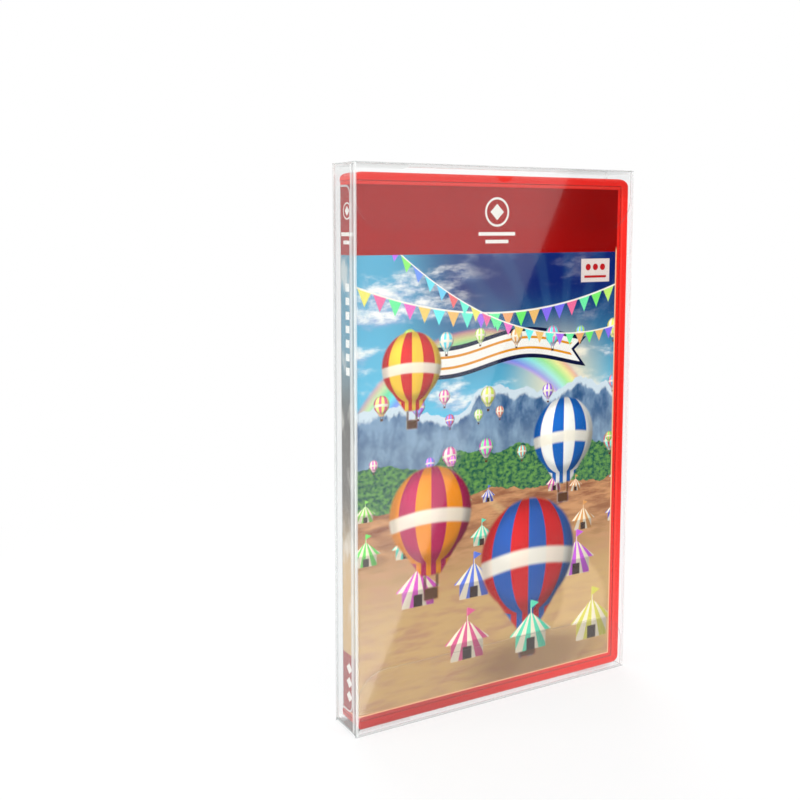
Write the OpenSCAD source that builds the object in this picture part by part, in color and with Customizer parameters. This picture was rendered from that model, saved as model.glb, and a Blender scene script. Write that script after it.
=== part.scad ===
// Game card case in its clear folded sleeve, standing on its lower end.
// X runs across the front from the spine to the free edge, Y from the front to the back, Z up.

/* [Game case] */
// Width of the closed case, from spine to free edge
case_w = 105; // [84:1:150]
// Height of the closed case
case_h = 170; // [136:1:230]
// Thickness of the closed case
case_d = 10.5; // [9.5:0.1:20]
// Wall of the moulded covers
case_wall = 1.2; // [0.9:0.1:1.8]
// Corner radius at the free edge
free_corner_r = 4.5; // [2:0.5:8]
// Corner radius at the spine
spine_corner_r = 3; // [1.6:0.1:5]
// Rounding of the long outer edges
edge_r = 1.2; // [1:0.1:1.6]
// Open line between the two covers
parting_gap = 0.2; // [0.1:0.05:0.4]
// Web of plastic left in the living hinges
hinge_web = 0.4; // [0.3:0.05:0.5]

/* [Cover print and film] */
// Thickness of the printed insert
insert_t = 0.15; // [0.1:0.05:0.2]
// Thickness of the clear outer film
film_t = 0.15; // [0.1:0.05:0.2]
// Bare border beside the insert at the free edge
border_side = 5; // [3:0.1:8]
// Bare border above the insert
border_top = 3.7; // [2.8:0.1:8]
// Bare border below the insert
border_bottom = 4.3; // [2.8:0.1:8]
// How far the welded film reaches past the insert
film_lap = 1.2; // [0.5:0.1:1.5]

/* [Game card] */
// Width of the game card
card_w = 21.5; // [16:0.5:30]
// Height of the game card
card_h = 31; // [20:0.5:40]
// Thickness of the game card
card_t = 3.3; // [2.5:0.1:4.5]
// Clearance round the card in its seat
card_fit = 0.25; // [0.1:0.05:0.5]

/* [Sleeve] */
// Thickness of the clear sheet
sheet_t = 0.4; // [0.3:0.05:0.6]
// Free width left beside the case
width_room = 1.2; // [0.6:0.1:4]
// Free height left above the case
height_room = 1.8; // [0.6:0.1:4]
// Free depth left behind the case
depth_room = 1.9; // [0.6:0.1:6]
// Clearance between sheets that lie on each other
flap_gap = 0.2; // [0.15:0.05:0.4]
// Outer radius of a folded edge
crease_r = 0.5; // [0.2:0.1:0.6]

/* [Closure] */
// Length of the tuck flaps
tuck_len = 19; // [10:1:30]
// Corner radius of the tuck flaps
tuck_corner_r = 10; // [3:1:10]
// How far a lid and its tuck flap stay inside the sleeve's sides
lid_inset = 0.5; // [0.5:0.1:1.5]
// Length of the dust flaps
dust_len = 24; // [12:1:34]
// How much the slanted end shortens a dust flap at the front
dust_slant = 4; // [0:0.5:8]
// Width of the glued seam strip
seam_w = 12; // [6:1:20]
// Depth of the thumb notch
notch_depth = 5; // [4:0.5:7]
// Radius at the bottom of the thumb notch
notch_r = 4; // [3:0.5:5]
// Radius of the notch's shoulders
notch_shoulder_r = 2.5; // [1:0.5:3]

/* [Hidden] */
$fn = 64;

// Sleeve, outside
lid_z = sheet_t + flap_gap;
box_w = case_w + width_room + 2 * sheet_t;
box_d = case_d + depth_room + 3 * sheet_t + 2 * flap_gap;
box_h = case_h + height_room + flap_gap + 2 * (lid_z + sheet_t);
front_y = -box_d / 2;
back_y = box_d / 2;
tuck_y = front_y + sheet_t + flap_gap;
dust_z = lid_z + sheet_t;
dust_back = back_y - sheet_t - flap_gap;

// Case, outside
case_x = -case_w / 2;
case_y = tuck_y + sheet_t + flap_gap;
case_z = dust_z + flap_gap;
case_back = case_y + case_d;
case_top = case_z + case_h;
parting_y = case_y + case_d / 2;

// Case, inside
hinge_groove_r = edge_r - film_t - insert_t - hinge_web;
inner_front = case_y + case_wall;
inner_back = case_back - case_wall;
inner_right = -case_x - case_wall;
rib_t = 1;
seat_x = case_w / 6;
seat_z = case_z + 0.68 * case_h;
seat_floor = 0.8;
seat_y = inner_back - seat_floor;
nib_r = 0.6;
nib_gap = 0.1;
pit_r = 8;
clip_z = [0.3, 0.7];
latch_z = [0.2, 0.8];
latch_len = 8;
hook_r = 0.5;

// Card, from the seat's floor
card_front = seat_y - card_t;
card_split = seat_y - 1.3;
card_skin = 0.7;
card_corner_r = 1.5;
label_t = 0.1;
label_margin = 1.2;
pads = 8;
board_t = 0.8;

arc_steps = 8;
eps = 0.01;
far = 2 * (box_w + box_h);

// A rectangle whose left and right corners are rounded by rl and rr
module plate(x0, x1, y0, y1, rl = 0, rr = 0) {
    difference() {
        translate([x0, y0]) square([x1 - x0, y1 - y0]);
        if (rl > 0) {
            corner_bite(x0, y0, 1, 1, rl);
            corner_bite(x0, y1, 1, -1, rl);
        }
        if (rr > 0) {
            corner_bite(x1, y0, -1, 1, rr);
            corner_bite(x1, y1, -1, -1, rr);
        }
    }
}

// What a rounded corner loses, with the corner at x, y and the plate towards sx, sy
module corner_bite(x, y, sx, sy, r) {
    translate([x, y]) difference() {
        translate([min(sx * r, -sx * eps), min(sy * r, -sy * eps)]) square(r + eps);
        translate([sx * r, sy * r]) circle(r);
    }
}

module along_x(x0, x1) {
    translate([x0, 0, 0]) rotate([90, 0, 90]) linear_extrude(x1 - x0) children();
}

module along_y(y0, y1) {
    translate([0, y1, 0]) rotate([90, 0, 0]) linear_extrude(y1 - y0) children();
}

module along_z(z0, z1) {
    translate([0, 0, z0]) linear_extrude(z1 - z0) children();
}

// The half of the sleeve's closure that the upper and lower end share
module at_both_ends() {
    children();
    translate([0, 0, box_h]) mirror([0, 0, 1]) children();
}

module sleeve_section() {
    difference() {
        plate(-box_w / 2, box_w / 2, front_y, back_y, crease_r, crease_r);
        plate(-box_w / 2 + sheet_t, box_w / 2 - sheet_t, front_y + sheet_t, back_y - sheet_t);
    }
}

// Points along an arc
function arc(x, y, r, from, to) =
    [for (i = [0:arc_steps]) let (a = from + (to - from) * i / arc_steps) [x + r * cos(a), y + r * sin(a)]];

// Round notch with flared shoulders, its mouth on the line y = 0
module notch() {
    centre = notch_r - notch_depth;
    reach = notch_r + notch_shoulder_r;
    drop = centre + notch_shoulder_r;
    half_w = sqrt(pow(reach, 2) - pow(drop, 2));
    turn = atan2(drop, half_w);
    polygon(concat(
        [[half_w, 1], [-half_w, 1]],
        arc(-half_w, -notch_shoulder_r, notch_shoulder_r, 90, turn),
        arc(0, centre, notch_r, 180 + turn, 360 - turn),
        arc(half_w, -notch_shoulder_r, notch_shoulder_r, 180 - turn, 90)
    ));
}

module dust_flap() {
    along_z(lid_z, dust_z)
        polygon([
            [-box_w / 2, case_y],
            [-box_w / 2 + dust_len - dust_slant, case_y],
            [-box_w / 2 + dust_len, dust_back],
            [-box_w / 2, dust_back],
        ]);
}

// What the side wall's rounded fold into a dust flap loses
module dust_crease() {
    along_y(case_y, dust_back) corner_bite(-box_w / 2, lid_z, 1, 1, crease_r);
}

// Strip of the side wall that is folded in and glued behind the back wall
module seam_strip() {
    strip_end = box_w / 2 - seam_w;
    strip_low = dust_z + flap_gap;
    along_y(back_y - 2 * sheet_t, back_y - sheet_t)
        polygon([
            [box_w / 2 - sheet_t, strip_low],
            [strip_end, strip_low + seam_w / 3],
            [strip_end, box_h - strip_low - seam_w / 3],
            [box_w / 2 - sheet_t, box_h - strip_low],
        ]);
}

module box_sleeve() {
    color([0.86, 0.88, 0.88, 0.35]) difference() {
        union() {
            along_z(lid_z, box_h - lid_z) sleeve_section();
            along_z(0, box_h) intersection() {
                sleeve_section();
                for (y = [front_y, back_y - sheet_t])
                    translate([-far / 2, y]) square([far, sheet_t]);
            }
            at_both_ends() for (side = [0, 1]) mirror([side, 0, 0]) dust_flap();
            seam_strip();
        }
        at_both_ends() for (side = [0, 1]) mirror([side, 0, 0]) dust_crease();
        along_y(front_y - 1, front_y + sheet_t + flap_gap / 2)
            translate([0, box_h]) notch();
    }
}

// Panel folded in from the back wall, between the front and the back wall
module lid() {
    along_z(0, sheet_t)
        plate(-box_w / 2 + lid_inset, box_w / 2 - lid_inset, tuck_y, dust_back);
}

module tuck_flap() {
    edge_x = box_w / 2 - sheet_t - lid_inset;
    along_y(tuck_y, tuck_y + sheet_t) rotate(90)
        plate(sheet_t, sheet_t + tuck_len, -edge_x, edge_x, 0, tuck_corner_r);
}

module top_lid() {
    color([0.86, 0.88, 0.88, 0.35]) translate([0, 0, box_h]) mirror([0, 0, 1]) lid();
}

module top_tuck_flap() {
    color([0.82, 0.85, 0.86, 0.35]) translate([0, 0, box_h]) mirror([0, 0, 1]) tuck_flap();
}

module bottom_lid() {
    color([0.86, 0.88, 0.88, 0.35]) lid();
}

module bottom_tuck_flap() {
    color([0.82, 0.85, 0.86, 0.35]) tuck_flap();
}

// Cross-section of the closed case, drawn in by an inset
module case_section(inset) {
    plate(case_x + inset, -case_x - inset, case_y + inset, case_back - inset,
        max(edge_r - inset, 0), max(edge_r - inset, 0));
}

// Closed case with rounded corners and edges, drawn in by an inset
module case_block(inset) {
    intersection() {
        along_z(case_z + inset, case_top - inset) case_section(inset);
        along_y(case_y, case_back)
            plate(case_x + inset, -case_x - inset, case_z + inset, case_top - inset,
                spine_corner_r - inset, free_corner_r - inset);
        along_x(case_x, -case_x)
            plate(case_y + inset, case_back - inset, case_z + inset, case_top - inset,
                max(edge_r - inset, 0), max(edge_r - inset, 0));
    }
}

// A sheet wrapped round front, spine and back between two insets, up to an edge
module wrap(outset, inset, edge_x, z0, z1) {
    along_z(z0, z1) difference() {
        case_section(outset);
        case_section(inset);
        translate([edge_x, -far / 2]) square(far);
    }
}

module film_wrap(outset = 0) {
    wrap(outset, film_t, -case_x - border_side + film_lap,
        case_z + border_bottom - film_lap, case_top - border_top + film_lap);
}

module insert_wrap() {
    wrap(film_t, film_t + insert_t, -case_x - border_side,
        case_z + border_bottom, case_top - border_top);
}

// Grooves that thin the wall to a web at both edges of the spine
module hinge_grooves() {
    for (y = [case_y + edge_r, case_back - edge_r])
        translate([case_x + edge_r, y, case_z - 1])
            cylinder(r = hinge_groove_r, h = case_h + 2);
}

// Open lines between the covers, and between each cover's end walls and the spine
module parting_lines() {
    spine_edge = case_x + case_wall;
    translate([spine_edge, parting_y - parting_gap / 2, case_z - 1])
        cube([case_w, parting_gap, case_h + 2]);
    for (z = [case_z - 1, case_top - spine_corner_r])
        translate([spine_edge, inner_front, z])
            cube([parting_gap, inner_back - inner_front, spine_corner_r + 1]);
}

// Raised seat that holds the card, with its retaining nibs and the pit for a finger
module card_seat() {
    half_w = card_w / 2 + card_fit;
    half_h = card_h / 2 + card_fit;
    wall_top = card_front - nib_gap - 2 * nib_r;
    translate([seat_x, 0, seat_z]) {
        difference() {
            along_y(wall_top, inner_back + eps)
                plate(-half_w - rib_t, half_w + rib_t, -half_h - rib_t, half_h + rib_t,
                    card_corner_r, card_corner_r);
            along_y(wall_top - 1, seat_y) plate(-half_w, half_w, -half_h, half_h);
            translate([-half_w - rib_t, seat_y, 0]) rotate([90, 0, 0])
                cylinder(r = pit_r, h = case_d);
        }
        for (side = [-1, 1])
            translate([-card_w / 6, card_front - nib_gap - nib_r, side * (half_h + rib_t / 4)])
                rotate([0, 90, 0]) cylinder(r = nib_r, h = card_w / 3);
    }
}

// Clips that hold a leaflet against the front cover
module leaflet_clips() {
    tab_y = inner_front + 2.2;
    stem_x = inner_right - 4;
    for (share = clip_z) {
        low = case_z + share * case_h - 5;
        translate([stem_x, inner_front - eps, low]) cube([rib_t, tab_y - inner_front + rib_t, 10]);
        along_y(tab_y, tab_y + rib_t) plate(stem_x - 8, stem_x + rib_t, low, low + 10, 2, 0);
    }
}

// Tongues of the back cover, whose hooks snap behind ribs of the front cover
module latches() {
    rib_y = parting_y - parting_gap / 2 - hook_r;
    hook_y = rib_y - 2 * hook_r - parting_gap;
    tongue_x = inner_right - parting_gap - hook_r;
    for (share = latch_z) {
        middle = case_z + share * case_h;
        translate([tongue_x - rib_t, hook_y - hook_r, middle - latch_len / 2])
            cube([rib_t, inner_back + eps - hook_y + hook_r, latch_len]);
        translate([tongue_x, hook_y, middle - latch_len / 2]) cylinder(r = hook_r, h = latch_len);
        translate([inner_right, rib_y, middle - latch_len / 2 - 1])
            cylinder(r = hook_r, h = latch_len + 2);
    }
}

module case_shell() {
    color([0.86, 0.07, 0.05]) union() {
        difference() {
            case_block(0);
            case_block(case_wall);
            film_wrap(-1);
            insert_wrap();
            hinge_grooves();
            parting_lines();
        }
        card_seat();
        leaflet_clips();
        latches();
    }
}

module cover_insert() {
    color([0.62, 0.3, 0.3]) insert_wrap();
}

module cover_film() {
    color([0.95, 0.96, 0.97, 0.3]) film_wrap();
}

// Outline of the card, drawn in by an inset
module card_outline(inset) {
    translate([seat_x, seat_z])
        plate(-card_w / 2 + inset, card_w / 2 - inset, -card_h / 2 + inset, card_h / 2 - inset,
            card_corner_r - inset, card_corner_r - inset);
}

module label_area(inset) {
    translate([seat_x, seat_z + card_h / 10])
        plate(-card_w / 2 + label_margin + inset, card_w / 2 - label_margin - inset,
            -card_h * 0.36 + inset, card_h * 0.36 - inset, 1, 1);
}

// Contact pads in a row at the card's lower end, grown by a clearance
module pad_row(grow) {
    pitch = (card_w - 3) / pads;
    for (i = [0:pads - 1])
        translate([seat_x + (i - pads / 2 + 0.5) * pitch, seat_z - card_h / 2 + 4.5])
            square([pitch * 0.6 + 2 * grow, 5 + 2 * grow], center = true);
}

module card_front_shell() {
    color([0.12, 0.12, 0.13]) difference() {
        along_y(card_front, card_split) card_outline(0);
        along_y(card_split - board_t, card_split + 1) card_outline(card_skin);
        along_y(card_front - 1, card_front + label_t) label_area(0);
    }
}

module card_back_shell() {
    color([0.14, 0.14, 0.15]) difference() {
        along_y(card_split, seat_y) card_outline(0);
        along_y(card_split - 1, seat_y + 1) pad_row(0.1);
    }
}

module card_contacts() {
    color([0.78, 0.62, 0.25]) {
        along_y(card_split - board_t, card_split) card_outline(card_skin + 0.1);
        along_y(card_split - eps, seat_y - 0.4) pad_row(0);
    }
}

module card_label() {
    color([0.85, 0.2, 0.18]) along_y(card_front, card_front + label_t) label_area(0.1);
}

box_sleeve();
top_lid();
top_tuck_flap();
bottom_lid();
bottom_tuck_flap();
case_shell();
cover_insert();
cover_film();
card_front_shell();
card_back_shell();
card_contacts();
card_label();
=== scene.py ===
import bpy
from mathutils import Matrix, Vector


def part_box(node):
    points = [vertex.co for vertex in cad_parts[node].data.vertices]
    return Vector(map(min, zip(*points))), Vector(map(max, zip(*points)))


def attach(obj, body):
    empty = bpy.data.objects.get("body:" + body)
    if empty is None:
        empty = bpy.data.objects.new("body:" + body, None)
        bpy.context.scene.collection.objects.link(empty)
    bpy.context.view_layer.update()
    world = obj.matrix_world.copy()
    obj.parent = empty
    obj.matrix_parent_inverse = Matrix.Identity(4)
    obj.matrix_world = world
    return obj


bl_info = {
    "name": "Game Card Case",
    "version": (1, 0, 0),
    "blender": (4, 5, 0),
    "location": "View3D > Sidebar > Card Case",
    "description": "Finishes a game card case in its clear folded sleeve, with its stage",
    "category": "Add Mesh",
}

import math

import bmesh
import bpy
from bpy.props import FloatProperty, FloatVectorProperty, PointerProperty
from mathutils import Matrix, Vector

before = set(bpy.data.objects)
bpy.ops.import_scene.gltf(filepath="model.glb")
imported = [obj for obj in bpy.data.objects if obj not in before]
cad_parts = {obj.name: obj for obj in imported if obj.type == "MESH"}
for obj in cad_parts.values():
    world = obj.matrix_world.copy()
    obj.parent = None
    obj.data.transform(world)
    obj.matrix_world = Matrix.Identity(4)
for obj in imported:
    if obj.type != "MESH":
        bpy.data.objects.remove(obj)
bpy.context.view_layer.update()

MM = 0.001
SLEEVE_LOW, SLEEVE_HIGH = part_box("box_sleeve")
CASE_LOW, CASE_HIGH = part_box("case_shell")
FILM_LOW, FILM_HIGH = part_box("cover_film")
PRINT_LOW, PRINT_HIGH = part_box("cover_insert")
LABEL_LOW, LABEL_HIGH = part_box("card_label")
LID_LOW, LID_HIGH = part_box("top_lid")

CASE_BODY = "sleeve_and_case"
UPPER_BODY = "upper_closure"
LOWER_BODY = "lower_closure"

COLOUR = {"subtype": "COLOR", "size": 4, "min": 0.0, "max": 1.0}
SHARE = {"subtype": "FACTOR", "min": 0.0, "max": 0.5}
LENGTH = {"subtype": "DISTANCE", "unit": "LENGTH"}
POWER = {"unit": "POWER", "min": 0.0, "max": 200.0}

# Softness of a printed edge, in millimetres
PRINT_BLUR = 0.08


def ink(red, green, blue):
    """A printed colour, given in the 0 to 255 of a display, as linear light."""
    linear = []
    for share in (red / 255, green / 255, blue / 255):
        linear.append(share / 12.92 if share <= 0.04045 else ((share + 0.055) / 1.055) ** 2.4)
    return (*linear, 1.0)


SCARLET = ink(206, 26, 30)
GOLD = ink(250, 206, 60)
COBALT = ink(30, 104, 190)
CREAM = ink(250, 250, 244)
ORANGE = ink(244, 150, 24)
PLUM = ink(190, 30, 92)
LEAF = ink(112, 168, 84)
PAPER_WHITE = ink(240, 238, 232)


class Value:
    """A number or colour that changes over a surface, held by one socket."""

    def __init__(self, bench, socket):
        self.bench = bench
        self.socket = socket

    def __add__(self, other):
        return self.bench.maths("ADD", self, other)

    def __radd__(self, other):
        return self.bench.maths("ADD", other, self)

    def __sub__(self, other):
        return self.bench.maths("SUBTRACT", self, other)

    def __rsub__(self, other):
        return self.bench.maths("SUBTRACT", other, self)

    def __mul__(self, other):
        return self.bench.maths("MULTIPLY", self, other)

    def __rmul__(self, other):
        return self.bench.maths("MULTIPLY", other, self)

    def __truediv__(self, other):
        return self.bench.maths("DIVIDE", self, other)

    def __rtruediv__(self, other):
        return self.bench.maths("DIVIDE", other, self)

    def __pow__(self, other):
        return self.bench.maths("POWER", self, other)

    def __rpow__(self, other):
        return self.bench.maths("POWER", other, self)

    def __abs__(self):
        return self.bench.maths("ABSOLUTE", self)

    def __floor__(self):
        return self.bench.maths("FLOOR", self)

    def rises(self, low, high):
        """0 below low, 1 above high, and smooth between them."""
        return self.bench.node(
            "ShaderNodeMapRange",
            {"interpolation_type": "SMOOTHSTEP", "clamp": False},
            {"Value": self, "From Min": low, "From Max": high},
        )

    def falls(self, low, high):
        return 1 - self.rises(low, high)

    def above(self, level, blur):
        return self.rises(level - blur, level + blur)

    def below(self, level, blur):
        return self.falls(level - blur, level + blur)

    def inside(self, low, high, blur):
        """1 between low and high, with edges that are blurred a little."""
        return self.above(low, blur) * self.below(high, blur)

    def other(self, name):
        """Another output of the node that this value comes from."""
        return Value(self.bench, self.socket.node.outputs[name])


class Bench:
    """A node tree on which values are worked out."""

    def __init__(self, tree):
        self.tree = tree

    def node(self, kind, settings, inputs, out=0):
        made = self.tree.nodes.new(kind)
        for name, value in settings.items():
            setattr(made, name, value)
        for name, value in inputs.items():
            if isinstance(value, Value):
                self.tree.links.new(value.socket, made.inputs[name])
            else:
                made.inputs[name].default_value = value
        return Value(self, made.outputs[out]) if made.outputs else made

    def maths(self, operation, *values):
        return self.node("ShaderNodeMath", {"operation": operation}, dict(enumerate(values)))

    def greater(self, one, two):
        return self.maths("MAXIMUM", one, two)

    def lesser(self, one, two):
        return self.maths("MINIMUM", one, two)

    def noise(self, at, scale, detail, roughness=0.5):
        parts = {"Vector": at, "Scale": scale, "Detail": detail, "Roughness": roughness}
        return self.node("ShaderNodeTexNoise", {}, parts)

    def mix(self, mask, under, over):
        """The colour over laid on the colour under, where the mask is 1."""
        parts = {0: mask, 6: under, 7: over}
        return self.node("ShaderNodeMix", {"data_type": "RGBA"}, parts, out=2)

    def shade(self, colour, strength):
        return self.node("ShaderNodeHueSaturation", {}, {"Color": colour, "Value": strength})

    def wander(self, along, scale, seed, detail=4.0):
        """Noise along one number."""
        parts = {"W": along + seed, "Scale": scale, "Detail": detail}
        return self.node("ShaderNodeTexNoise", {"noise_dimensions": "1D"}, parts)

    def from_hue(self, hue, saturation, brightness):
        parts = {0: hue, 1: saturation, 2: brightness}
        return self.node("ShaderNodeCombineColor", {"mode": "HSV"}, parts)

    def disc(self, x, z, at_x, at_z, radius, blur=PRINT_BLUR):
        """1 inside a circle on the plane of x and z."""
        reach = ((x - at_x) ** 2 + (z - at_z) ** 2) ** 0.5
        return reach.below(radius, blur)

    def bar(self, x, z, box, blur=PRINT_BLUR):
        """1 inside a rectangle given as left, right, bottom and top."""
        left, right, bottom, top = box
        return x.inside(left, right, blur) * z.inside(bottom, top, blur)


class Finish(Bench):
    """A material, with its coordinates in millimetres on the finished object."""

    def __init__(self, name):
        self.material = bpy.data.materials.new(name)
        self.material.use_nodes = True
        super().__init__(self.material.node_tree)
        self.tree.nodes.clear()
        self.place = self.node("ShaderNodeTexCoord", {}, {}, out="Object")
        self.at = self.stretched((1, 1, 1))
        split = self.node("ShaderNodeSeparateXYZ", {}, {0: self.at})
        self.x, self.y, self.z = split, split.other("Y"), split.other("Z")

    def stretched(self, by, shift=(0, 0, 0)):
        """Coordinates in millimetres, drawn out along each axis and shifted."""
        scale = [share / MM for share in by]
        parts = {"Vector": self.place, "Scale": scale, "Location": shift}
        return self.node("ShaderNodeMapping", {}, parts)

    def faces(self, axis):
        """How far a face looks along an axis, either way, from 0 to 1."""
        turned = self.node("ShaderNodeSeparateXYZ", {}, {0: self.place.other("Normal")})
        return abs(turned.other(axis))

    def bump(self, height, distance):
        return self.node("ShaderNodeBump", {}, {"Height": height, "Distance": distance})

    def surface(self, **sockets):
        """The main shader, whose sockets are named in words joined by underscores."""
        named = {name.replace("_", " ").replace("Ior", "IOR"): v for name, v in sockets.items()}
        return self.node("ShaderNodeBsdfPrincipled", {}, named)

    def blend(self, mask, under, over):
        """One shader over another, where the mask is 1."""
        return self.node("ShaderNodeMixShader", {}, {0: mask, 1: under, 2: over})

    def done(self, shader):
        self.node("ShaderNodeOutputMaterial", {}, {"Surface": shader})
        return self.material

    def see_through(self, cover, shader):
        """The shader laid over clear material, as thick as cover says, with a faint shadow."""
        clear = self.node("ShaderNodeBsdfTransparent", {}, {})
        shade = 0.06
        light = 1 - shade
        thinned = self.node("ShaderNodeBsdfTransparent", {}, {"Color": (light, light, light, 1)})
        shadow = self.node("ShaderNodeLightPath", {}, {}, out="Is Shadow Ray")
        self.material.surface_render_method = "BLENDED"
        return self.done(self.blend(shadow, self.blend(cover, clear, shader), thinned))

    def gloss_of_sheet(self, head_on):
        """How much a clear sheet mirrors, from its value seen head on to grazing."""
        graze = self.node("ShaderNodeLayerWeight", {}, {"Blend": 0.5}, out="Facing")
        return head_on + (1 - head_on) * graze ** 5


class SleeveSettings(bpy.types.PropertyGroup):
    """Looks of the clear folded sleeve"""

    tint: FloatVectorProperty(
        name="Sheet tint", description="Colour of the sheet's faint haze",
        **COLOUR, default=ink(236, 240, 238),
    )
    haze: FloatProperty(
        name="Haze", description="Share of light that the clear sheet scatters",
        **SHARE, default=0.0004,
    )
    # Painted sheen: haze added to the narrow left wall only, where it is seen at a grazing angle.
    painted_side_sheen: FloatProperty(
        name="Painted side sheen", description="Added haze of the narrow wall on the left",
        **SHARE, default=0.07,
    )
    gloss: FloatProperty(
        name="Gloss", description="Share of light that one face of the sheet mirrors head on",
        **SHARE, default=0.03,
    )
    # The fold width sets the painted highlight and painted dark line beside each fold.
    fold_width: FloatProperty(
        name="Fold width", description="Width of the pressed line along a fold, in millimetres",
        min=0.2, max=3.0, default=1.0,
    )
    bead_radius: FloatProperty(
        name="Fold bead", description="Radius of the bright bead inside a fold",
        **LENGTH, min=0.00005, max=0.0005, default=0.00018,
    )


class CaseSettings(bpy.types.PropertyGroup):
    """Looks of the moulded case, its card and its film"""

    plastic: FloatVectorProperty(
        name="Plastic", description="Colour of the moulded case",
        **COLOUR, default=ink(244, 24, 12),
    )
    plastic_thin: FloatVectorProperty(
        name="Thin plastic", description="Colour of the case where light comes through its edges",
        **COLOUR, default=ink(255, 84, 66),
    )
    weld_radius: FloatProperty(
        name="Film weld", description="Radius of the weld line round the clear film",
        **LENGTH, min=0.00005, max=0.0004, default=0.00012,
    )
    card_plastic: FloatVectorProperty(
        name="Card plastic", description="Colour of the game card's housing",
        **COLOUR, default=ink(44, 44, 47),
    )


class CoverSettings(bpy.types.PropertyGroup):
    """Colours and scale of the printed cover"""

    band: FloatVectorProperty(
        name="Band", description="Colour of the plain band at the top",
        **COLOUR, default=ink(160, 3, 2),
    )
    band_height: FloatProperty(
        name="Band height", description="Height of the plain band",
        **LENGTH, min=0.005, max=0.05, default=0.0207,
    )
    sky: FloatVectorProperty(
        name="Sky", description="Colour of the upper sky",
        **COLOUR, default=ink(8, 36, 112),
    )
    horizon: FloatVectorProperty(
        name="Horizon", description="Colour of the sky near the hills",
        **COLOUR, default=ink(104, 200, 230),
    )
    sand: FloatVectorProperty(
        name="Sand", description="Colour of the ground in front",
        **COLOUR, default=ink(206, 170, 114),
    )


class StageSettings(bpy.types.PropertyGroup):
    """Camera, lamps and floor"""

    eye: FloatVectorProperty(
        name="Camera", description="Place of the camera",
        subtype="TRANSLATION", unit="LENGTH", size=3, default=(-0.1915, -0.275, 0.155),
    )
    yaw: FloatProperty(
        name="Yaw", description="Turn of the camera to the right of straight ahead",
        subtype="ANGLE", default=math.radians(29.8),
    )
    pitch: FloatProperty(
        name="Pitch", description="Tilt of the camera below level",
        subtype="ANGLE", default=math.radians(5.99),
    )
    lens: FloatProperty(
        name="Lens", description="Focal length in millimetres on a sensor 36 mm wide",
        min=10.0, max=200.0, default=46.6,
    )
    rise: FloatProperty(
        name="Vertical shift", description="Vertical shift of the lens",
        min=-0.3, max=0.3, default=-0.08,
    )
    key_power: FloatProperty(
        name="Key lamp", description="Power of the key lamp",
        **POWER, default=15.0,
    )
    fill_power: FloatProperty(
        name="Fill lamp", description="Power of the fill lamp",
        **POWER, default=7.0,
    )
    side_power: FloatProperty(
        name="Side lamp", description="Power of the lamp that lights the spine",
        **POWER, default=11.0,
    )
    rear_power: FloatProperty(
        name="Rear lamp", description="Power of the lamp that lights the back",
        **POWER, default=14.0,
    )
    room: FloatProperty(
        name="Room light", description="Strength of the light from all round",
        min=0.0, max=2.0, default=0.62,
    )


def coat(node, material):
    """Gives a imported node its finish."""
    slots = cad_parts[node].data.materials
    slots.clear()
    slots.append(material)


def made_object(name, form, material):
    """Turns a finished form into an object of the scene."""
    mesh = bpy.data.meshes.new(name)
    form.to_mesh(mesh)
    form.free()
    mesh.materials.append(material)
    made = bpy.data.objects.new(name, mesh)
    bpy.context.scene.collection.objects.link(made)
    return made


def new_piece(name, form, body, material):
    """A smooth piece of the object, which rides on a body."""
    bmesh.ops.recalc_face_normals(form, faces=form.faces)
    for face in form.faces:
        face.smooth = True
    made = made_object(name, form, material)
    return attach(made, body)


def bead_form(route, radius, closed=False):
    """A round bead that follows a route of points."""
    sides = 8
    count = len(route)
    frames = []
    turn = Vector((0, 0, 1)).rotation_difference(route[1] - route[0])
    ahead = (route[1] - route[0]).normalized()
    for i, here in enumerate(route):
        before = route[i - 1] if closed or i else here
        after = route[(i + 1) % count] if closed or i < count - 1 else here
        leads = (after - before).normalized()
        turn = ahead.rotation_difference(leads) @ turn
        ahead = leads
        frames.append(Matrix.Translation(here) @ turn.to_matrix().to_4x4())
    form = bmesh.new()
    bmesh.ops.create_circle(form, segments=sides, radius=radius, matrix=frames[0])
    first_loop = loop = form.edges[:]
    for last, here in zip(frames, frames[1:]):
        grown = bmesh.ops.extrude_edge_only(form, edges=loop)["geom"]
        loop = [part for part in grown if isinstance(part, bmesh.types.BMEdge)]
        corners = [part for part in grown if isinstance(part, bmesh.types.BMVert)]
        loop = [edge for edge in loop if all(vert in corners for vert in edge.verts)]
        bmesh.ops.transform(form, matrix=here @ last.inverted(), verts=corners)
    if closed:
        bmesh.ops.bridge_loops(form, edges=first_loop + loop)
    else:
        bmesh.ops.holes_fill(form, edges=first_loop + loop, sides=sides)
    return form


def turn_points(centre, radius, start, end):
    """Points on a level arc, with its angles in degrees."""
    steps = 5
    points = []
    for i in range(steps + 1):
        angle = math.radians(start + (end - start) * i / steps)
        points.append(centre + radius * Vector((math.cos(angle), math.sin(angle), 0)))
    return points


def cut_edges(sheet, facing, from_side):
    """Pale sides and dark cut edges of a flat sheet that faces along an axis: a painted highlight and
    painted shade.
    """
    pale = from_side.falls(0.5, 0.9) * 0.12
    dark = sheet.faces(facing).falls(0.4, 0.6) * 0.35
    return pale, dark


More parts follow.
